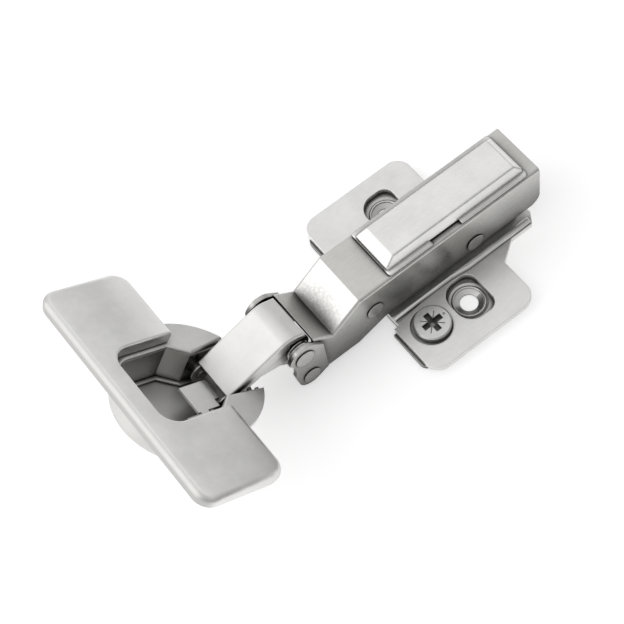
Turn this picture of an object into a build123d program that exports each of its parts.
from build123d import *
import math
import os

os.makedirs("parts", exist_ok=True)

# Concealed cup hinge for a cabinet door: a clip-on arm on a two-layer fixing plate.
# Lengths are millimetres. X runs along the arm towards its tail, Z stands off the
# cabinet side, and the origin lies between the two plate screws on the cabinet face.

# Clearances
run_fit = 0.05
slide_fit = 0.15
part_gap = 0.3
deep = 60.0

# Fixing plate, lower layer
screw_pitch = 32.0
screw_hole_r = 2.25
screw_sink_r = 3.7
screw_sink_depth = 0.95
screw_seat_r = 4.9
screw_seat_depth = 0.3
base_t = 1.2
base_front = 19.4
base_rear = 11.0
base_half_w = 23.4
base_corner_r = 2.0
base_neck_half_w = 11.4
base_neck_depth = 2.2
base_tail_half_w = 4.2
base_tail_end = 22.0

# Fixing plate, upper layer with wings and a raised spine
wing_t = 1.5
wing_gap = 0.1
wing_front = 18.8
wing_rear = 12.7
wing_half_w = 26.5
wing_corner_r = 4.0
wing_neck_half_w = 11.0
wing_neck_depth = 1.5
wing_tail_x = 18.2
wing_tail_end = 26.5
wing_tail_chamfer = 1.8
wing_tail_root_half_w = 14.2
wing_tail_half_w = 10.3
wing_tail_tip_half_w = 7.5
window_w = 9.4
window_l = 11.6
window_round_r = 4.4
window_corner_r = 2.8
spine_half_w = 5.0
spine_rise = 3.4
spine_front = 16.0
spine_rear = 24.0
rib_in = 8.3
rib_out = 10.2
rib_wide_out = 11.5
rib_wide_end_x = -6.6
rib_pinch_out = 9.5
rib_pinch_x = 0.2
rib_h = 0.9
rib_draft = 25.0
rib_groove_in = 9.3
rib_groove_w = 1.0
rib_groove_end_x = -6.0
rib_groove_depth = 1.1

# Height travel of the upper layer over the lower one
height_travel = 1.8
height_turn = 70.0
height_screw_x = -11.1
height_head_r = 4.65
height_rim_gap = 0.5
height_rim_shift = 0.3
height_stand = 1.5
height_neck_r = 4.1
height_foot_r = 5.0
height_foot_t = 0.4
height_land_t = 0.5
height_pin_r = 1.5
drive_r = 2.7
drive_w = 1.5
drive_depth = 1.5
tick_r = 3.0
tick_w = 0.2
tick_depth = 0.2
dot_x = 3.5
dot_r = 0.3

# Guide studs between the two layers
stud_r = 1.6
stud_head_r = 2.6
stud_head_t = 0.8
stud_front_x = -7.0
stud_rear_x = 17.0

# Hinge arm, one folded channel
sheet = 1.2
arm_half_w = 7.9
arm_top = 19.9
arm_tail = 29.2
arm_tail_bottom = 6.0
arm_tail_corner_r = 3.2
arm_tail_step_x = 13.5
arm_crown_x = -24.9
arm_valley_x = -33.4
arm_valley_z = 13.9
arm_brow_x = -38.7
arm_brow_z = 18.6
arm_front_bottom = 2.1
arm_knee_x = -27.0
arm_step_x = -18.6
arm_mid_bottom = 5.2
arm_mid_end_x = 1.0
arm_bend_r = 0.9

# Knuckle at the front of the arm
upper_pivot_x = -42.3
upper_pivot_z = 15.2
upper_pin_r = 1.9
upper_ear_r = 4.1
lower_pivot_x = -41.6
lower_pivot_z = 5.7
lower_pin_r = 1.7
lower_ear_r = 3.6
ear_step = 1.0
ear_root_x = -36.8
ear_root_low = 4.0
ear_root_high = 15.4
ear_waist_x = -45.2
ear_waist_z = 12.0
ear_waist_r = 7.0
ear_root_front = 38.3
rivet_head_t = 0.35
rivet_head_grow = 0.6
rivet_round = 0.15

# Clip carrier under the arm
carrier_front = -24.3
carrier_fork_front = -26.8
carrier_fork_top = 14.6
carrier_rear = 23.0
carrier_top = 16.2
carrier_side_gap = 0.35
carrier_foot_x = -16.5
carrier_front_bottom = 8.0
hook_pin_x = -14.2
hook_pin_z = 4.9
hook_pin_r = 0.9

# Arm adjustment
tilt_limit = 1.2
tail_pin_x = 8.9
tail_pin_z = 8.8
tail_pin_r = 1.8
knee_pin_x = -21.3
knee_pin_z = 11.5
knee_pin_r = 1.4
depth_travel = 1.9
depth_turn = 60.0
depth_screw_x = 17.0
depth_head_r = 3.0
depth_flange_r = 3.9
depth_flange_t = 1.0
depth_pin_r = 1.2
side_screw_x = -9.5
side_head_r = 2.9
side_neck_r = 1.4
side_collar_r = 2.4
side_collar_t = 1.0
side_play = 0.6
screw_stand = 0.4
small_drive_r = 1.9
small_drive_w = 0.9

# Clip lever at the tail
lever_pin_x = 19.5
lever_pin_z = 11.2
lever_pin_r = 1.1
lever_hub_r = 2.2
lever_t = 1.2
lever_hub_half_w = 2.6
lever_tab_half_w = 3.9
lever_tab_end = 28.6
lever_leg_half_w = 2.1
lever_toe_len = 1.4
lever_toe_t = 0.8
lever_toe_z = 3.5
lever_window_half_w = 2.5
lever_window_high = 5.2
lever_wire_r = 0.3
lever_coil_r = 1.8
lever_coil_pitch = 0.65
lever_coil_turns = 2.5

# Arm cap
cap_t = 0.7
cap_front = -15.6
cap_rear = 26.0
cap_half_w = 7.4
cap_rim = 0.6
cap_corner_r = 0.8
cap_rise = 3.3
cap_dome_in = 0.3
cap_dome_half_w = 6.4
cap_top_half_w = 4.9
cap_lip = 1.4
cap_front_bevel = 2.7
cap_rear_bevel = 1.9
cap_round = 0.5
cap_notch_x = 1.6
cap_notch_l = 8.6
cap_notch_w = 1.3
cap_prong_x = 3.5
cap_prong_l = 3.0
cap_prong_t = 1.0
cap_prong_y = 3.0
cap_prong_drop = 1.7

# Cup, given in its own face plane at the half-open rest pose
cup_x = -66.75
cup_z = 23.2
cup_tilt = 33.0
rim_r = 17.5
rim_t = 1.2
wall_r = 16.8
cup_depth = 11.5
cup_t = 0.9
cup_foot_r = 3.1
mouth_back = -14.6
mouth_half_w = 10.7
mouth_corner_r = 4.5
mouth_front = 0.8
mouth_round = 0.6
throat_half_w = 7.0
throat_start = 5.3
throat_flare = 1.4
throat_depth = 4.2
slit_half_w = 4.4
slit_depth = 9.9
flange_t = 1.2
flange_in = 12.8
flange_end_gap = 2.6
flange_back = -16.0
flange_front = 0.5
flange_corner_r = 3.0
flange_screw_x = -6.0
flange_screw_pitch = 48.0
flange_screw_r = 2.1

# Cup pins, in the cup's face plane
outer_pin_x = 9.25
outer_pin_depth = 6.2
outer_pin_r = 1.5
inner_pin_x = 14.2
inner_pin_depth = 7.0
inner_pin_r = 1.0

# Brackets in the cup that hold the outer link's pins
bracket_t = 1.1
bracket_front = 13.2
bracket_wall_back = -11.4

# Outer link
link_half_w = 6.2
link_t = 1.3
link_step = 0.9
link_crest_r = 5.0
link_edge_r = 0.6
link_tip_x = -62.0
link_tip_z = 16.45
link_crest_x = -43.8
link_crest_z = 22.1
link_nose_x = -39.6
link_nose_z = 20.2
link_eye_r = 2.9
link_knuckle_r = 3.8
band_tip_z = 14.9
band_mid_x = -55.5
band_mid_z = 16.2
band_end_x = -44.4
band_end_z = 18.2
belly_tip_x = -59.6
belly_tip_z = 13.9
belly_mid_x = -52.4
belly_mid_z = 13.5
belly_end_x = -46.2
belly_end_z = 12.3
outer_pin_in = 4.2

# Inner link, an arched bar
bar_half_w = 3.6
bar_h = 2.4
bar_arch_x = -46.05
bar_arch_z = 9.8
bar_dip_x = -52.0
bar_dip_z = 11.15
bar_eye_r = 1.75
bar_knuckle_r = 2.9

# Closing springs on the upper pivot
spring_wire_r = 0.3
spring_coil_r = 2.6
spring_pitch = 0.62
spring_turns = 2.0

# Damper in the cup
damper_back = -4.0
damper_front = 3.6
damper_in = 6.4
damper_out = 9.6
damper_corner = 1.6
damper_high = 4.9
damper_low = 10.3
plate_back = -0.2
plate_front = 6.0
plate_nose_front = 7.4
plate_nose_near = 3.9
plate_near = 6.0
plate_far = 2.0
plate_high = 5.0
plate_t = 0.7
tongue_back = 0.4
tongue_front = 2.5
tongue_l = 1.8

# Cover plate over the cup flange
cover_rise = 3.4
cover_t = 0.8
cover_front = 1.9
cover_back = -21.2
cover_half_l = 32.6
cover_corner_r = 4.0
cover_flare = 14.0
cover_lift = 0.2
cover_window_half_w = 11.6
cover_window_back = -15.8
cover_window_r = 4.6
cover_edge_r = 1.5
cover_lip_r = 0.6

# Heights and stations that follow from the sizes above
screw_y = screw_pitch / 2
wing_bottom = base_t + wing_gap
wing_top = wing_bottom + wing_t
spine_top = wing_top + spine_rise
spine_in_half_w = spine_half_w - wing_t
height_sweep = math.radians(height_turn)
height_pin_e = height_travel / math.sin(height_sweep)
height_pin_play = height_pin_r + 2 * slide_fit
height_land_bottom = wing_bottom + height_foot_t + run_fit
height_land_top = height_land_bottom + height_land_t
arm_in_half_w = arm_half_w - sheet
arm_roof = arm_top - sheet
ear_out = arm_half_w + ear_step
ear_in = ear_out - sheet
carrier_half_w = arm_in_half_w - carrier_side_gap
carrier_in_half_w = carrier_half_w - sheet
carrier_roof = carrier_top - sheet
carrier_bottom = wing_top + part_gap
knee_lift = (tail_pin_x - knee_pin_x) * math.radians(tilt_limit)
depth_sweep = math.radians(depth_turn)
depth_pin_e = depth_travel / math.sin(depth_sweep)
flange_out = cover_half_l - flange_end_gap
cup_lean = math.radians(cup_tilt)
cup_along = (math.cos(cup_lean), 0, -math.sin(cup_lean))
cup_up = (math.sin(cup_lean), 0, math.cos(cup_lean))
cup_face = Plane(origin=(cup_x, 0, cup_z), x_dir=cup_along, z_dir=cup_up)
cup_side = Plane(origin=(cup_x, 0, cup_z), x_dir=cup_along, z_dir=(0, -1, 0))
outer_pin = cup_side.from_local_coords((outer_pin_x, -outer_pin_depth, 0))
inner_pin = cup_side.from_local_coords((inner_pin_x, -inner_pin_depth, 0))
cup_floor = cup_depth - cup_t
cup_bore_r = wall_r - cup_t

# Lower layer, screwed to the cabinet
with BuildPart() as base_plate:
    with BuildSketch(Plane.XY):
        with Locations(((base_rear - base_front) / 2, 0)):
            RectangleRounded(base_front + base_rear, 2 * base_half_w, base_corner_r)
        with Locations((base_tail_end / 2, 0)):
            Rectangle(base_tail_end, 2 * base_tail_half_w)
        with Locations((-base_front, 0)):
            Rectangle(2 * base_neck_depth, 2 * base_neck_half_w, mode=Mode.SUBTRACT)
        with Locations((0, screw_y), (0, -screw_y)):
            Circle(screw_hole_r, mode=Mode.SUBTRACT)
        # slot across the plate for the eccentric pin of the height screw
        with Locations(
            (height_screw_x + height_pin_e * (1 + math.cos(height_sweep)) / 2, -screw_y)
        ):
            SlotCenterToCenter(
                height_pin_e * (1 - math.cos(height_sweep)) + slide_fit,
                2 * height_pin_play,
                mode=Mode.SUBTRACT,
            )
    extrude(amount=base_t)
    # dished seat and countersink for the cabinet screws
    seat_floor = base_t - screw_seat_depth
    with Locations(
        (0, screw_y, base_t - screw_seat_depth / 2),
        (0, -screw_y, base_t - screw_seat_depth / 2),
    ):
        Cone(screw_sink_r, screw_seat_r, screw_seat_depth, mode=Mode.SUBTRACT)
    with Locations(
        (0, screw_y, seat_floor - (screw_sink_depth - screw_seat_depth) / 2),
        (0, -screw_y, seat_floor - (screw_sink_depth - screw_seat_depth) / 2),
    ):
        Cone(
            screw_hole_r,
            screw_sink_r,
            screw_sink_depth - screw_seat_depth,
            mode=Mode.SUBTRACT,
        )
base_plate.part.label = "base_plate"
export_step(base_plate.part, "parts/base_plate.step")

# Headed studs on the lower layer that the upper layer slides on
with BuildPart() as guide_studs:
    with BuildSketch(Plane.XY.offset(base_t)):
        with Locations((stud_front_x, 0), (stud_rear_x, 0)):
            Circle(stud_r)
    extrude(amount=spine_top + slide_fit - base_t)
    with BuildSketch(Plane.XY.offset(spine_top + slide_fit)):
        with Locations((stud_front_x, 0), (stud_rear_x, 0)):
            Circle(stud_head_r)
    extrude(amount=stud_head_t)
guide_studs.part.label = "guide_studs"
export_step(guide_studs.part, "parts/guide_studs.step")

# Upper layer
with BuildPart() as wing_plate:
    with BuildSketch(Plane.XY.offset(wing_bottom)):
        with Locations(((wing_rear - wing_front) / 2, 0)):
            RectangleRounded(wing_front + wing_rear, 2 * wing_half_w, wing_corner_r)
        with BuildLine():
            Polyline(
                (0, -wing_tail_root_half_w),
                (wing_rear, -wing_tail_root_half_w),
                (wing_tail_x, -wing_tail_half_w),
                (wing_tail_end - wing_tail_chamfer, -wing_tail_half_w),
                (wing_tail_end, -wing_tail_tip_half_w),
                (wing_tail_end, wing_tail_tip_half_w),
                (wing_tail_end - wing_tail_chamfer, wing_tail_half_w),
                (wing_tail_x, wing_tail_half_w),
                (wing_rear, wing_tail_root_half_w),
                (0, wing_tail_root_half_w),
                close=True,
            )
        make_face()
        with Locations((-wing_front, 0)):
            Rectangle(2 * wing_neck_depth, 2 * wing_neck_half_w, mode=Mode.SUBTRACT)
    extrude(amount=wing_t)
    # windows over the two cabinet screws, rounder towards the cup
    for side in (1, -1):
        with BuildSketch(Plane.XY.offset(wing_bottom)):
            with Locations(
                (window_round_r - window_w / 2, side * screw_y + window_l / 2 - window_round_r),
                (window_round_r - window_w / 2, side * screw_y - window_l / 2 + window_round_r),
            ):
                Circle(window_round_r)
            with Locations(
                (window_w / 2 - window_corner_r, side * screw_y + window_l / 2 - window_corner_r),
                (window_w / 2 - window_corner_r, side * screw_y - window_l / 2 + window_corner_r),
            ):
                Circle(window_corner_r)
            make_hull()
        extrude(amount=wing_t, mode=Mode.SUBTRACT)
    # stiffening ribs along both sides of the arm, pinched beside the windows
    rib_front_x = wing_neck_depth - wing_front
    rib_rear_x = wing_tail_end - wing_tail_chamfer
    for side in (1, -1):
        with BuildSketch(Plane.XY.offset(wing_top)):
            with BuildLine():
                Polyline(
                    (rib_front_x, side * rib_in),
                    (rib_pinch_x, side * rib_in),
                    (rib_pinch_x, side * rib_pinch_out),
                    (rib_wide_end_x, side * rib_wide_out),
                    (rib_front_x, side * rib_wide_out),
                    close=True,
                )
            make_face()
        extrude(amount=rib_h, taper=rib_draft)
        with BuildSketch(Plane.XY.offset(wing_top)):
            with BuildLine():
                Polyline(
                    (rib_wide_end_x, side * rib_in),
                    (rib_rear_x, side * rib_in),
                    (rib_rear_x, side * rib_out),
                    (rib_wide_end_x, side * rib_pinch_out),
                    close=True,
                )
            make_face()
        extrude(amount=rib_h, taper=rib_draft)
        # tapering groove pressed into the wide end
        with BuildSketch(Plane.XY.offset(wing_top + rib_h)):
            with BuildLine():
                Polyline(
                    (rib_front_x, side * rib_groove_in),
                    (rib_groove_end_x, side * rib_groove_in),
                    (rib_front_x, side * (rib_groove_in + rib_groove_w)),
                    close=True,
                )
            make_face()
        extrude(amount=-rib_groove_depth, mode=Mode.SUBTRACT)
    # raised spine that the carrier rides on, hollow underneath
    with BuildSketch(Plane.XY.offset(wing_bottom)):
        with Locations(((spine_rear - spine_front) / 2, 0)):
            Rectangle(spine_front + spine_rear, 2 * spine_half_w)
    extrude(amount=spine_top - wing_bottom)
    with BuildSketch(Plane.XY.offset(wing_bottom)):
        with Locations(((spine_rear - spine_front) / 2, 0)):
            Rectangle(spine_front + spine_rear - 2 * wing_t, 2 * spine_in_half_w)
    extrude(amount=spine_top - wing_t - wing_bottom, mode=Mode.SUBTRACT)
    with BuildSketch(Plane.XY.offset(spine_top)):
        with Locations((stud_front_x, 0), (stud_rear_x, 0)):
            SlotOverall(
                2 * (stud_r + height_travel + slide_fit),
                2 * (stud_r + slide_fit),
                rotation=90,
            )
    extrude(amount=-wing_t, mode=Mode.SUBTRACT)
    # seat for the hook pin and a window for the lever toe
    with BuildSketch(Plane.XZ):
        with Locations((hook_pin_x, hook_pin_z)):
            Circle(hook_pin_r)
    extrude(amount=spine_half_w + part_gap, both=True, mode=Mode.SUBTRACT)
    with BuildSketch(Plane.YZ.offset(spine_rear)):
        with Locations((0, (lever_window_high + lever_toe_z - part_gap) / 2)):
            Rectangle(2 * lever_window_half_w, lever_window_high - lever_toe_z + part_gap)
    extrude(amount=-wing_t, mode=Mode.SUBTRACT)
    # bearing for the height screw, relieved on both faces
    with BuildSketch(Plane.XY.offset(wing_bottom)):
        with Locations((height_screw_x, -screw_y)):
            Circle(height_neck_r + run_fit)
    extrude(amount=wing_t, mode=Mode.SUBTRACT)
    with BuildSketch(Plane.XY.offset(wing_bottom)):
        with Locations((height_screw_x, -screw_y)):
            Circle(height_foot_r + slide_fit)
    extrude(amount=height_land_bottom - wing_bottom, mode=Mode.SUBTRACT)
    with BuildSketch(Plane.XY.offset(height_land_top)):
        with Locations((height_screw_x - height_rim_shift, -screw_y)):
            Circle(height_head_r + height_rim_gap)
    extrude(amount=wing_t + rib_h, mode=Mode.SUBTRACT)
wing_plate.part.label = "wing_plate"
export_step(wing_plate.part, "parts/wing_plate.step")

# Eccentric screw that shifts the upper layer up and down the door
with BuildPart() as height_screw:
    with BuildSketch(Plane.XY.offset(wing_bottom)):
        with Locations((height_screw_x, -screw_y)):
            Circle(height_foot_r)
    extrude(amount=height_foot_t)
    with BuildSketch(Plane.XY.offset(wing_bottom)):
        with Locations((height_screw_x, -screw_y)):
            Circle(height_neck_r)
    extrude(amount=wing_t)
    with BuildSketch(Plane.XY.offset(height_land_top + run_fit)):
        with Locations((height_screw_x, -screw_y)):
            Circle(height_head_r)
    extrude(amount=wing_top + height_stand - height_land_top - run_fit)
    chamfer(height_screw.edges().sort_by(Axis.Z)[-1], run_fit * 6)
    with BuildSketch(Plane.XY.offset(part_gap)):
        with Locations((height_screw_x + height_pin_e, -screw_y)):
            Circle(height_pin_r)
    extrude(amount=wing_bottom - part_gap)
    with BuildSketch(Plane.XY.offset(wing_top + height_stand)):
        with Locations((height_screw_x, -screw_y)):
            Rectangle(2 * drive_r, drive_w)
            Rectangle(drive_w, 2 * drive_r)
    extrude(amount=-drive_depth, mode=Mode.SUBTRACT)
    # marks between the wings of the drive, and the eccentric's dot
    with BuildSketch(Plane.XY.offset(wing_top + height_stand)):
        with Locations((height_screw_x, -screw_y)):
            Rectangle(2 * tick_r, tick_w, rotation=45)
            Rectangle(2 * tick_r, tick_w, rotation=-45)
        with Locations((height_screw_x + dot_x, -screw_y)):
            Circle(dot_r)
    extrude(amount=-tick_depth, mode=Mode.SUBTRACT)
height_screw.part.label = "height_screw"
export_step(height_screw.part, "parts/height_screw.step")

# Cross pin at the front of the spine that the carrier hooks on
with BuildPart() as hook_pin:
    with BuildSketch(Plane.XZ):
        with Locations((hook_pin_x, hook_pin_z)):
            Circle(hook_pin_r)
    extrude(amount=carrier_half_w, both=True)
hook_pin.part.label = "hook_pin"
export_step(hook_pin.part, "parts/hook_pin.step")

# Carrier channel that clips on the spine and holds the arm
with BuildPart() as carrier:
    with BuildSketch(Plane.XZ):
        with BuildLine():
            Polyline(
                (carrier_front, carrier_top),
                (carrier_rear, carrier_top),
                (carrier_rear, carrier_bottom),
                (carrier_foot_x, carrier_bottom),
                (carrier_foot_x, carrier_front_bottom),
                (carrier_fork_front, carrier_front_bottom),
                (carrier_fork_front, carrier_fork_top),
                (carrier_front, carrier_fork_top),
                close=True,
            )
        make_face()
    extrude(amount=carrier_half_w, both=True)
    with BuildSketch(Plane.XZ):
        with Locations((0, carrier_roof - deep / 2)):
            Rectangle(2 * deep, deep)
    extrude(amount=carrier_in_half_w, both=True, mode=Mode.SUBTRACT)
    # slots in the two walls: tail rivet, knee rivet, lever pin and front hook
    with BuildSketch(Plane.XZ):
        with Locations((tail_pin_x, tail_pin_z)):
            SlotCenterToCenter(2 * depth_travel + slide_fit, 2 * (tail_pin_r + run_fit))
        with Locations((knee_pin_x, knee_pin_z)):
            RectangleRounded(
                2 * (knee_pin_r + depth_travel + 2 * slide_fit),
                2 * (knee_pin_r + knee_lift + slide_fit),
                knee_pin_r,
            )
        with Locations((lever_pin_x, lever_pin_z)):
            Circle(lever_pin_r)
        with Locations((hook_pin_x, hook_pin_z)):
            Circle(hook_pin_r + run_fit)
        with Locations(((hook_pin_x + carrier_foot_x) / 2, hook_pin_z)):
            Rectangle(hook_pin_x - carrier_foot_x, 2 * (hook_pin_r + run_fit))
    extrude(amount=carrier_half_w, both=True, mode=Mode.SUBTRACT)
    # keyhole for the side screw and cross slot for the depth screw
    with BuildSketch(Plane.XY.offset(carrier_top)):
        with Locations((side_screw_x, 0)):
            SlotCenterToCenter(
                2 * (depth_travel + 2 * slide_fit), 2 * (side_neck_r + slide_fit)
            )
        with Locations((side_screw_x + depth_travel + side_neck_r + side_collar_r, 0)):
            Circle(side_collar_r + slide_fit)
        with Locations((depth_screw_x, depth_pin_e * (1 + math.cos(depth_sweep)) / 2)):
            SlotCenterToCenter(
                depth_pin_e * (1 - math.cos(depth_sweep)) + slide_fit,
                2 * (depth_pin_r + 3 * slide_fit),
                rotation=90,
            )
    extrude(amount=-sheet, mode=Mode.SUBTRACT)
carrier.part.label = "carrier"
export_step(carrier.part, "parts/carrier.step")

# Pin of the clip lever, pressed into the carrier
with BuildPart() as lever_pin:
    with BuildSketch(Plane.XZ):
        with Locations((lever_pin_x, lever_pin_z)):
            Circle(lever_pin_r)
    extrude(amount=carrier_half_w, both=True)
lever_pin.part.label = "lever_pin"
export_step(lever_pin.part, "parts/lever_pin.step")

# Clip lever: hub, leg with a toe that catches the spine, and a finger tab
lever_leg_x = spine_rear + part_gap
with BuildPart() as clip_lever:
    with BuildSketch(Plane.XZ):
        with Locations((lever_pin_x, lever_pin_z)):
            Circle(lever_hub_r)
        with Locations(((lever_pin_x + lever_leg_x + lever_t) / 2, lever_pin_z)):
            Rectangle(lever_leg_x + lever_t - lever_pin_x, lever_t)
    extrude(amount=lever_hub_half_w, both=True)
    with BuildSketch(Plane.XZ):
        with Locations(((lever_leg_x + lever_tab_end) / 2, lever_pin_z)):
            Rectangle(lever_tab_end - lever_leg_x, lever_t)
    extrude(amount=lever_tab_half_w, both=True)
    with BuildSketch(Plane.XZ):
        with Locations((lever_leg_x + lever_t / 2, (lever_pin_z + lever_toe_z) / 2)):
            Rectangle(lever_t, lever_pin_z - lever_toe_z)
        with Locations((lever_leg_x + (lever_t - lever_toe_len) / 2, lever_toe_z + lever_toe_t / 2)):
            Rectangle(lever_t + lever_toe_len, lever_toe_t)
    extrude(amount=lever_leg_half_w, both=True)
    with BuildSketch(Plane.XZ):
        with Locations((lever_pin_x, lever_pin_z)):
            Circle(lever_pin_r + run_fit)
    extrude(amount=lever_hub_half_w, both=True, mode=Mode.SUBTRACT)
clip_lever.part.label = "clip_lever"
export_step(clip_lever.part, "parts/clip_lever.step")

# Return spring of the clip lever
with BuildPart() as lever_spring:
    with BuildLine() as lever_coil:
        Helix(
            lever_coil_pitch,
            lever_coil_pitch * lever_coil_turns,
            lever_coil_r,
            center=(lever_pin_x, lever_hub_half_w + lever_wire_r + slide_fit, lever_pin_z),
            direction=(0, 1, 0),
        )
    with BuildSketch(Plane(origin=lever_coil.line @ 0, z_dir=lever_coil.line % 0)):
        Circle(lever_wire_r)
    sweep(path=lever_coil.line, is_frenet=True)
lever_spring.part.label = "lever_spring"
export_step(lever_spring.part, "parts/lever_spring.step")

# Rivet at the tail that the arm tilts on
with BuildPart() as tail_rivet:
    with BuildSketch(Plane.XZ):
        with Locations((tail_pin_x, tail_pin_z)):
            Circle(tail_pin_r)
    extrude(amount=arm_half_w + run_fit, both=True)
    for side in (1, -1):
        with BuildSketch(Plane.XZ.offset(side * (arm_half_w + run_fit))):
            with Locations((tail_pin_x, tail_pin_z)):
                Circle(tail_pin_r + rivet_head_grow)
        extrude(amount=side * rivet_head_t)
    fillet(
        tail_rivet.edges().filter_by(GeomType.CIRCLE).sort_by(Axis.Y)[0], rivet_round
    )
    fillet(
        tail_rivet.edges().filter_by(GeomType.CIRCLE).sort_by(Axis.Y)[-1], rivet_round
    )
tail_rivet.part.label = "tail_rivet"
export_step(tail_rivet.part, "parts/tail_rivet.step")

# Hinge arm
with BuildPart() as arm:
    with BuildSketch(Plane.XZ) as arm_side:
        with BuildLine():
            Polyline(
                (arm_tail, arm_top),
                (arm_crown_x, arm_top),
                (arm_valley_x, arm_valley_z),
                (arm_brow_x, arm_brow_z),
                (arm_brow_x, arm_front_bottom),
                (arm_knee_x, arm_front_bottom),
                (arm_step_x, arm_mid_bottom),
                (arm_mid_end_x, arm_mid_bottom),
                (arm_tail_step_x, arm_tail_bottom),
                (arm_tail, arm_tail_bottom),
                close=True,
            )
        make_face()
        fillet(
            arm_side.vertices().sort_by_distance((arm_tail, arm_tail_bottom))[0],
            arm_tail_corner_r,
        )
    extrude(amount=arm_half_w, both=True)
    open_faces = arm.faces().filter_by(
        lambda f: abs(f.normal_at().Y) < 0.5 and f.normal_at().Z < 0.3
    )
    offset(amount=-sheet, openings=open_faces)
    # bends between the top and the two sides
    bends = arm.edges().filter_by(
        lambda e: abs(abs(e.center().Y) - arm_half_w) < run_fit
        and e.center().Z > arm_valley_z
        and abs((e % 0.5).X) > 0.5
    )
    fillet(bends, arm_bend_r)
    # outward step and ears that carry the two link pivots
    for side in (1, -1):
        with BuildSketch(Plane.XZ.offset(side * ear_in)):
            with Locations((upper_pivot_x, upper_pivot_z)):
                Circle(upper_ear_r)
            with Locations((lower_pivot_x, lower_pivot_z)):
                Circle(lower_ear_r)
            with Locations(((ear_root_x + arm_brow_x) / 2, (ear_root_low + ear_root_high) / 2)):
                Rectangle(ear_root_x - arm_brow_x, ear_root_high - ear_root_low)
            make_hull()
            # waist between the two rivets
            with Locations((ear_waist_x - ear_waist_r, ear_waist_z)):
                Circle(ear_waist_r, mode=Mode.SUBTRACT)
        extrude(amount=side * sheet)
        with BuildSketch(Plane.XZ.offset(side * arm_in_half_w)):
            with Locations(((ear_root_x - ear_root_front) / 2, (ear_root_low + ear_root_high) / 2)):
                Rectangle(ear_root_front + ear_root_x, ear_root_high - ear_root_low)
        extrude(amount=side * (ear_out - arm_in_half_w))
    # rivet holes
    with BuildSketch(Plane.XZ):
        with Locations((upper_pivot_x, upper_pivot_z)):
            Circle(upper_pin_r)
        with Locations((lower_pivot_x, lower_pivot_z)):
            Circle(lower_pin_r)
        with Locations((knee_pin_x, knee_pin_z)):
            Circle(knee_pin_r)
        with Locations((tail_pin_x, tail_pin_z)):
            Circle(tail_pin_r + run_fit)
    extrude(amount=ear_out + part_gap, both=True, mode=Mode.SUBTRACT)
    # holes in the top for the two adjusting screws and the prongs of the cap
    with BuildSketch(Plane.XY.offset(arm_top)):
        with Locations((depth_screw_x, 0)):
            Circle(depth_head_r + run_fit)
        with Locations((side_screw_x, 0)):
            Circle(side_head_r + run_fit)
        with Locations((cap_prong_x, cap_prong_y), (cap_prong_x, -cap_prong_y)):
            Rectangle(cap_prong_l + part_gap, cap_prong_t + 2 * part_gap)
    extrude(amount=-sheet, mode=Mode.SUBTRACT)
arm.part.label = "arm"
export_step(arm.part, "parts/arm.step")

# Rivet in front of the carrier that the side screw lifts with the arm
with BuildPart() as knee_rivet:
    with BuildSketch(Plane.XZ):
        with Locations((knee_pin_x, knee_pin_z)):
            Circle(knee_pin_r)
    extrude(amount=arm_half_w, both=True)
    for side in (1, -1):
        with BuildSketch(Plane.XZ.offset(side * arm_half_w)):
            with Locations((knee_pin_x, knee_pin_z)):
                Circle(knee_pin_r + 1.5 * rivet_head_grow)
        extrude(amount=side * rivet_head_t)
    fillet(
        knee_rivet.edges().filter_by(GeomType.CIRCLE).sort_by(Axis.Y)[0], rivet_round
    )
    fillet(
        knee_rivet.edges().filter_by(GeomType.CIRCLE).sort_by(Axis.Y)[-1], rivet_round
    )
knee_rivet.part.label = "knee_rivet"
export_step(knee_rivet.part, "parts/knee_rivet.step")

# Screw over the carrier that tilts the arm for the side adjustment
with BuildPart() as side_screw:
    with BuildSketch(Plane.XY.offset(carrier_top + side_play)):
        with Locations((side_screw_x, 0)):
            Circle(side_head_r)
    extrude(amount=arm_top + screw_stand - carrier_top - side_play)
    with BuildSketch(Plane.XY.offset(carrier_roof - side_play)):
        with Locations((side_screw_x, 0)):
            Circle(side_neck_r)
    extrude(amount=sheet + 2 * side_play)
    with BuildSketch(Plane.XY.offset(carrier_roof - side_play)):
        with Locations((side_screw_x, 0)):
            Circle(side_collar_r)
    extrude(amount=-side_collar_t)
    with BuildSketch(Plane.XY.offset(arm_top + screw_stand)):
        with Locations((side_screw_x, 0)):
            Rectangle(2 * small_drive_r, small_drive_w)
            Rectangle(small_drive_w, 2 * small_drive_r)
    extrude(amount=-drive_depth, mode=Mode.SUBTRACT)
side_screw.part.label = "side_screw"
export_step(side_screw.part, "parts/side_screw.step")

# Eccentric screw that moves the arm in and out for the depth adjustment
with BuildPart() as depth_screw:
    with BuildSketch(Plane.XY.offset(arm_top + screw_stand)):
        with Locations((depth_screw_x, 0)):
            Circle(depth_head_r)
    extrude(amount=-(screw_stand + sheet + slide_fit))
    with BuildSketch(Plane.XY.offset(arm_roof - slide_fit)):
        with Locations((depth_screw_x, 0)):
            Circle(depth_flange_r)
    extrude(amount=-depth_flange_t)
    with BuildSketch(Plane.XY.offset(arm_roof - slide_fit)):
        with Locations((depth_screw_x, depth_pin_e)):
            Circle(depth_pin_r)
    extrude(amount=carrier_roof - arm_roof)
    with BuildSketch(Plane.XY.offset(arm_top + screw_stand)):
        with Locations((depth_screw_x, 0)):
            Rectangle(2 * small_drive_r, small_drive_w)
            Rectangle(small_drive_w, 2 * small_drive_r)
    extrude(amount=-drive_depth, mode=Mode.SUBTRACT)
depth_screw.part.label = "depth_screw"
export_step(depth_screw.part, "parts/depth_screw.step")

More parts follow.
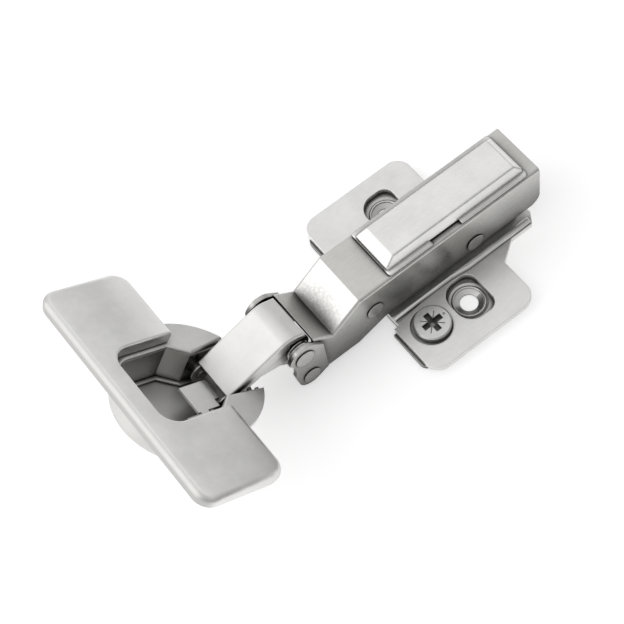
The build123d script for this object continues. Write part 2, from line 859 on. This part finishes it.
# Snap-on cap over the arm: a raised dome with a flat flange around it
dome_front = cap_front + cap_dome_in
dome_rear = cap_rear - cap_dome_in
cap_top = arm_top + cap_rise
with BuildPart() as arm_cap:
    with BuildSketch(Plane.YZ.offset(dome_front)):
        with BuildLine():
            Polyline(
                (-cap_dome_half_w, arm_top),
                (-cap_top_half_w, cap_top),
                (cap_top_half_w, cap_top),
                (cap_dome_half_w, arm_top),
                close=True,
            )
        make_face()
    extrude(amount=dome_rear - dome_front)
    # upright lips and bevels at the two ends
    with BuildSketch(Plane.XZ):
        with BuildLine():
            Polyline(
                (dome_front, arm_top),
                (dome_front, arm_top + cap_lip),
                (dome_front + cap_front_bevel, cap_top),
                (dome_rear - cap_rear_bevel, cap_top),
                (dome_rear, arm_top + cap_lip),
                (dome_rear, arm_top),
                close=True,
            )
        make_face()
    extrude(amount=cap_dome_half_w, both=True, mode=Mode.INTERSECT)
    dome_edges = arm_cap.edges().filter_by(lambda e: e.center().Z > arm_top + cap_rim)
    fillet(dome_edges, cap_round)
    with BuildSketch(Plane.XY.offset(arm_top)):
        with Locations(((cap_front + cap_rear) / 2, 0)):
            RectangleRounded(cap_rear - cap_front, 2 * cap_half_w, cap_corner_r)
    extrude(amount=cap_rim)
    # hollow underside
    with BuildSketch(Plane.XY.offset(arm_top)):
        with Locations(((cap_front + cap_rear) / 2, 0)):
            Rectangle(dome_rear - dome_front - 2 * cap_t, 2 * (cap_dome_half_w - cap_t) - cap_t)
    with BuildSketch(Plane.XY.offset(cap_top - cap_t)):
        with Locations(
            ((dome_front + dome_rear + cap_front_bevel - cap_rear_bevel) / 2, 0)
        ):
            Rectangle(
                dome_rear - dome_front - cap_front_bevel - cap_rear_bevel - cap_t,
                2 * cap_top_half_w - cap_t,
            )
    loft(mode=Mode.SUBTRACT)
    # finger window in the near side
    with BuildSketch(Plane.XY.offset(arm_top)):
        with Locations((cap_notch_x, -cap_half_w)):
            Rectangle(cap_notch_l, 2 * cap_notch_w)
    extrude(amount=cap_rim + cap_t, mode=Mode.SUBTRACT)
    # two prongs through the arm
    with BuildSketch(Plane.XY.offset(cap_top - cap_t / 2)):
        with Locations((cap_prong_x, cap_prong_y), (cap_prong_x, -cap_prong_y)):
            Rectangle(cap_prong_l, cap_prong_t)
    extrude(amount=-(cap_rise - cap_t / 2 + cap_prong_drop))
arm_cap.part.label = "arm_cap"
export_step(arm_cap.part, "parts/arm_cap.step")

# Pivot of the outer link
with BuildPart() as upper_rivet:
    with BuildSketch(Plane.XZ):
        with Locations((upper_pivot_x, upper_pivot_z)):
            Circle(upper_pin_r)
    extrude(amount=ear_out, both=True)
    for side in (1, -1):
        with BuildSketch(Plane.XZ.offset(side * ear_out)):
            with Locations((upper_pivot_x, upper_pivot_z)):
                Circle(upper_pin_r + rivet_head_grow)
        extrude(amount=side * rivet_head_t)
    fillet(
        upper_rivet.edges().filter_by(GeomType.CIRCLE).sort_by(Axis.Y)[0], rivet_round
    )
    fillet(
        upper_rivet.edges().filter_by(GeomType.CIRCLE).sort_by(Axis.Y)[-1], rivet_round
    )
upper_rivet.part.label = "upper_rivet"
export_step(upper_rivet.part, "parts/upper_rivet.step")

# Pivot of the inner link
with BuildPart() as lower_rivet:
    with BuildSketch(Plane.XZ):
        with Locations((lower_pivot_x, lower_pivot_z)):
            Circle(lower_pin_r)
    extrude(amount=ear_out, both=True)
    for side in (1, -1):
        with BuildSketch(Plane.XZ.offset(side * ear_out)):
            with Locations((lower_pivot_x, lower_pivot_z)):
                Circle(lower_pin_r + rivet_head_grow)
        extrude(amount=side * rivet_head_t)
    fillet(
        lower_rivet.edges().filter_by(GeomType.CIRCLE).sort_by(Axis.Y)[0], rivet_round
    )
    fillet(
        lower_rivet.edges().filter_by(GeomType.CIRCLE).sort_by(Axis.Y)[-1], rivet_round
    )
lower_rivet.part.label = "lower_rivet"
export_step(lower_rivet.part, "parts/lower_rivet.step")

# Pair of closing springs coiled on the upper pivot, between links and ears
spring_in = link_half_w - link_step + slide_fit + spring_wire_r
with BuildPart() as closing_springs:
    for side in (1, -1):
        with BuildLine() as coil:
            Helix(
                spring_pitch,
                spring_pitch * spring_turns,
                spring_coil_r,
                center=(upper_pivot_x, side * spring_in, upper_pivot_z),
                direction=(0, side, 0),
            )
        with BuildSketch(Plane(origin=coil.line @ 0, z_dir=coil.line % 0)):
            Circle(spring_wire_r)
        sweep(path=coil.line, is_frenet=True)
closing_springs.part.label = "closing_springs"
export_step(closing_springs.part, "parts/closing_springs.step")

# Outer link: a folded top sheet over two cheeks
link_slope = math.atan2(link_crest_z - link_tip_z, link_crest_x - link_tip_x)
link_drop = link_t / math.cos(link_slope)
with BuildPart() as outer_link:
    with BuildSketch(Plane.XZ):
        with BuildLine():
            Polyline(
                (link_tip_x, link_tip_z),
                (link_crest_x, link_crest_z),
                (link_nose_x, link_nose_z),
                (link_nose_x, link_nose_z - link_drop),
                (link_crest_x, link_crest_z - link_drop),
                (link_tip_x, link_tip_z - link_drop),
                close=True,
            )
        make_face()
    extrude(amount=link_half_w, both=True)
    for side in (1, -1):
        # outer skin of each cheek, down to the pressed step
        with BuildSketch(Plane.XZ.offset(side * (link_half_w - link_t))):
            with BuildLine():
                Polyline(
                    (link_tip_x, link_tip_z),
                    (link_crest_x, link_crest_z),
                    (link_nose_x, link_nose_z),
                    (link_nose_x, link_nose_z - link_drop),
                    (link_crest_x, link_crest_z - link_crest_r / 2),
                    (band_end_x, band_end_z),
                    (band_mid_x, band_mid_z),
                    (link_tip_x, band_tip_z),
                    close=True,
                )
            make_face()
        extrude(amount=side * link_t)
        # cheek with its two eyes
        with BuildSketch(Plane.XZ.offset(side * (link_half_w - link_t))):
            with BuildLine():
                Polyline(
                    (link_tip_x, link_tip_z),
                    (link_crest_x, link_crest_z),
                    (link_nose_x, link_nose_z),
                    (upper_pivot_x + link_knuckle_r, upper_pivot_z),
                    (upper_pivot_x, upper_pivot_z - link_knuckle_r),
                    (belly_end_x, belly_end_z),
                    (belly_mid_x, belly_mid_z),
                    (belly_tip_x, belly_tip_z),
                    (outer_pin.X, outer_pin.Z),
                    close=True,
                )
            make_face()
            with Locations((upper_pivot_x, upper_pivot_z)):
                Circle(link_knuckle_r)
            with Locations((outer_pin.X, outer_pin.Z)):
                Circle(link_eye_r)
        extrude(amount=side * (link_t - link_step))
    with BuildSketch(Plane.XZ):
        with Locations((upper_pivot_x, upper_pivot_z)):
            Circle(upper_pin_r + run_fit)
        with Locations((outer_pin.X, outer_pin.Z)):
            Circle(outer_pin_r + run_fit)
    extrude(amount=link_half_w, both=True, mode=Mode.SUBTRACT)
    # rounded crest and folded long edges
    crest_edges = outer_link.edges().filter_by(Axis.Y).sort_by_distance(
        (link_crest_x, 0, link_crest_z)
    )
    fillet(crest_edges[0], link_crest_r)
    fold_edges = outer_link.edges().filter_by(
        lambda e: abs(abs(e.center().Y) - link_half_w) < run_fit
        and e.center().Z > link_tip_z + (e.center().X - link_tip_x) * math.tan(link_slope) - link_t / 2
        and abs((e % 0.5).X) > 0.5
    )
    fillet(fold_edges, link_edge_r)
outer_link.part.label = "outer_link"
export_step(outer_link.part, "parts/outer_link.step")

# Inner link: one arched bar between the cheeks of the outer link
with BuildPart() as inner_link:
    with BuildSketch(Plane.XZ):
        with BuildLine():
            Polyline(
                (lower_pivot_x, lower_pivot_z),
                (bar_arch_x, bar_arch_z),
                (bar_dip_x, bar_dip_z),
                (inner_pin.X, inner_pin.Z),
            )
        trace(line_width=bar_h)
        with Locations((bar_arch_x, bar_arch_z), (bar_dip_x, bar_dip_z)):
            Circle(bar_h / 2)
        with Locations((lower_pivot_x, lower_pivot_z)):
            Circle(bar_knuckle_r)
        with Locations((inner_pin.X, inner_pin.Z)):
            Circle(bar_eye_r)
        with Locations((lower_pivot_x, lower_pivot_z)):
            Circle(lower_pin_r + run_fit, mode=Mode.SUBTRACT)
        with Locations((inner_pin.X, inner_pin.Z)):
            Circle(inner_pin_r, mode=Mode.SUBTRACT)
    extrude(amount=bar_half_w, both=True)
inner_link.part.label = "inner_link"
export_step(inner_link.part, "parts/inner_link.step")

# Pin at the cup end of the inner link
with BuildPart() as link_pin:
    with BuildSketch(Plane.XZ):
        with Locations((inner_pin.X, inner_pin.Z)):
            Circle(inner_pin_r)
    extrude(amount=bar_half_w, both=True)
link_pin.part.label = "link_pin"
export_step(link_pin.part, "parts/link_pin.step")

# Cup: a drawn shell with a deck around its mouth and two screw-on ears
cup_normal = Axis(cup_face.origin, cup_face.z_dir)
with BuildPart() as cup:
    with BuildSketch(cup_face):
        Circle(wall_r)
    extrude(amount=-cup_depth)
    fillet(cup.edges().sort_by(cup_normal)[0], cup_foot_r)
    offset(amount=-cup_t, openings=cup.faces().sort_by(cup_normal)[-1])
    with BuildSketch(cup_face):
        Circle(rim_r)
    extrude(amount=-rim_t)
    # ears with their screw holes
    for side in (1, -1):
        with BuildSketch(cup_face):
            with Locations(((flange_back + flange_front) / 2, side * (flange_in + flange_out) / 2)):
                RectangleRounded(
                    flange_front - flange_back, flange_out - flange_in, flange_corner_r
                )
            with Locations((flange_screw_x, side * flange_screw_pitch / 2)):
                Circle(flange_screw_r, mode=Mode.SUBTRACT)
        extrude(amount=flange_t)
    # mouth in the deck, narrowing to the throat for the links
    with BuildSketch(cup_face):
        with BuildLine():
            Polyline(
                (mouth_back, -mouth_half_w),
                (mouth_front, -mouth_half_w),
                (throat_start, -throat_half_w),
                (rim_r, -throat_half_w - throat_flare),
                (rim_r, throat_half_w + throat_flare),
                (throat_start, throat_half_w),
                (mouth_front, mouth_half_w),
                (mouth_back, mouth_half_w),
                close=True,
            )
        mouth = make_face()
        fillet(mouth.vertices().sort_by(Axis.X)[0:2], mouth_corner_r)
    extrude(amount=-rim_t, mode=Mode.SUBTRACT)
    # rolled edge around the mouth
    deck_cut = cup.edges().filter_by(
        lambda e: abs(cup_face.to_local_coords(e.center()).Z) < run_fit
        and abs(cup_face.to_local_coords(e.center()).Y) < mouth_half_w + run_fit
        and (e.center() - cup_face.origin).length < rim_r - mouth_round
    )
    fillet(deck_cut, mouth_round)
    with BuildSketch(cup_face):
        with Locations((rim_r, 0)):
            Rectangle(2 * (rim_r - throat_start), 2 * throat_half_w)
    extrude(amount=-throat_depth, mode=Mode.SUBTRACT)
    # slit in the wall behind the throat for the end of the inner link
    with BuildSketch(cup_face):
        with Locations((rim_r, 0)):
            Rectangle(2 * (rim_r - throat_start), 2 * slit_half_w)
    extrude(amount=-slit_depth, mode=Mode.SUBTRACT)
cup.part.label = "cup"
export_step(cup.part, "parts/cup.step")

# Two folded brackets under the deck: they line the mouth and carry the outer link's pins
well_r = cup_bore_r - slide_fit
well_floor = cup_floor - slide_fit
with BuildPart() as cup_brackets:
    for side in (1, -1):
        with BuildSketch(cup_face.offset(-rim_t)):
            with BuildLine():
                Polyline(
                    (bracket_wall_back, side * mouth_half_w),
                    (mouth_front, side * mouth_half_w),
                    (throat_start, side * throat_half_w),
                    (bracket_front, side * throat_half_w),
                )
                offset(
                    amount=bracket_t,
                    kind=Kind.INTERSECTION,
                    side=Side.LEFT if side > 0 else Side.RIGHT,
                )
            make_face()
        extrude(amount=rim_t - well_floor)
    # lower ends follow the round foot of the cup
    with BuildSketch(cup_side) as well_side:
        with Locations((well_r / 2, -well_floor / 2)):
            Rectangle(well_r, well_floor)
        fillet(
            well_side.vertices().sort_by_distance((well_r, -well_floor))[0],
            cup_foot_r - cup_t,
        )
    revolve(axis=cup_normal, mode=Mode.INTERSECT)
    with BuildSketch(cup_side):
        with Locations((outer_pin_x, -outer_pin_depth)):
            Circle(outer_pin_r)
    extrude(amount=throat_half_w + 2 * bracket_t, both=True, mode=Mode.SUBTRACT)
cup_brackets.part.label = "cup_brackets"
export_step(cup_brackets.part, "parts/cup_brackets.step")

# Stub pins of the outer link, pressed into the brackets
with BuildPart() as cup_pins:
    for side in (1, -1):
        with BuildSketch(cup_side.offset(side * outer_pin_in)):
            with Locations((outer_pin_x, -outer_pin_depth)):
                Circle(outer_pin_r)
        extrude(amount=side * (throat_half_w + bracket_t - outer_pin_in))
cup_pins.part.label = "cup_pins"
export_step(cup_pins.part, "parts/cup_pins.step")

# Damper housing on the cup floor, with an open guide pocket
with BuildPart() as damper_housing:
    with BuildSketch(cup_face.offset(-damper_low)):
        with Locations(
            ((damper_back + damper_front) / 2, -(damper_in + damper_out) / 2)
        ):
            housing = Rectangle(damper_front - damper_back, damper_out - damper_in)
        chamfer(
            housing.vertices().sort_by_distance((damper_front, -damper_out))[0],
            damper_corner,
        )
        with Locations(
            ((tongue_back + tongue_front) / 2, -(damper_in + tongue_l / 2 - part_gap))
        ):
            Rectangle(
                tongue_front - tongue_back + 2 * slide_fit,
                tongue_l + 2 * part_gap,
                mode=Mode.SUBTRACT,
            )
    extrude(amount=damper_low - damper_high)
damper_housing.part.label = "damper_housing"
export_step(damper_housing.part, "parts/damper_housing.step")

# Press plate that the outer link drives down against the damper
with BuildPart() as damper_plate:
    with BuildSketch(cup_face.offset(-plate_high)):
        with Locations(((plate_back + plate_front) / 2, (plate_far - plate_near) / 2)):
            Rectangle(plate_front - plate_back, plate_far + plate_near)
        with Locations(((plate_front + plate_nose_front) / 2, (plate_far - plate_nose_near) / 2)):
            Rectangle(plate_nose_front - plate_front, plate_far + plate_nose_near)
        with Locations(
            (
                (tongue_back + tongue_front) / 2,
                -(plate_near + damper_in + tongue_l - part_gap) / 2,
            )
        ):
            Rectangle(
                tongue_front - tongue_back, damper_in + tongue_l - part_gap - plate_near
            )
    extrude(amount=-plate_t)
damper_plate.part.label = "damper_plate"
export_step(damper_plate.part, "parts/damper_plate.step")

# Moulded cover plate over the ears
with BuildPart() as cup_cover:
    cover_mid_x = (cover_back + cover_front) / 2
    cover_l = cover_front - cover_back
    with BuildSketch(cup_face.offset(cover_lift)):
        with Locations((cover_mid_x, 0)):
            RectangleRounded(cover_l, 2 * cover_half_l, cover_corner_r)
    extrude(amount=cover_rise - cover_lift, taper=-cover_flare)
    fillet(cup_cover.faces().sort_by(cup_normal)[-1].edges(), cover_edge_r)
    with BuildSketch(cup_face.offset(cover_lift)):
        with Locations((cover_window_back + deep / 2, 0)):
            RectangleRounded(deep, 2 * cover_window_half_w, cover_window_r)
    extrude(amount=cover_rise, mode=Mode.SUBTRACT)
    # rolled edge around the window
    window_edges = cup_cover.edges().filter_by(
        lambda e: abs(cup_face.to_local_coords(e.center()).Z - cover_rise) < run_fit
        and abs(cup_face.to_local_coords(e.center()).Y) < cover_window_half_w + run_fit
        and cup_face.to_local_coords(e.center()).X > cover_window_back - run_fit
    )
    fillet(window_edges, cover_lip_r)
    # pockets over the ears
    for side in (1, -1):
        with BuildSketch(cup_face.offset(cover_lift)):
            with Locations(
                (
                    cover_mid_x,
                    side * (cover_window_half_w + cover_half_l) / 2,
                )
            ):
                RectangleRounded(
                    cover_l - 2 * cover_t,
                    cover_half_l - cover_window_half_w - 2 * cover_t,
                    cover_corner_r - cover_t,
                )
        extrude(amount=cover_rise - cover_t - cover_lift, mode=Mode.SUBTRACT)
cup_cover.part.label = "cup_cover"
export_step(cup_cover.part, "parts/cup_cover.step")
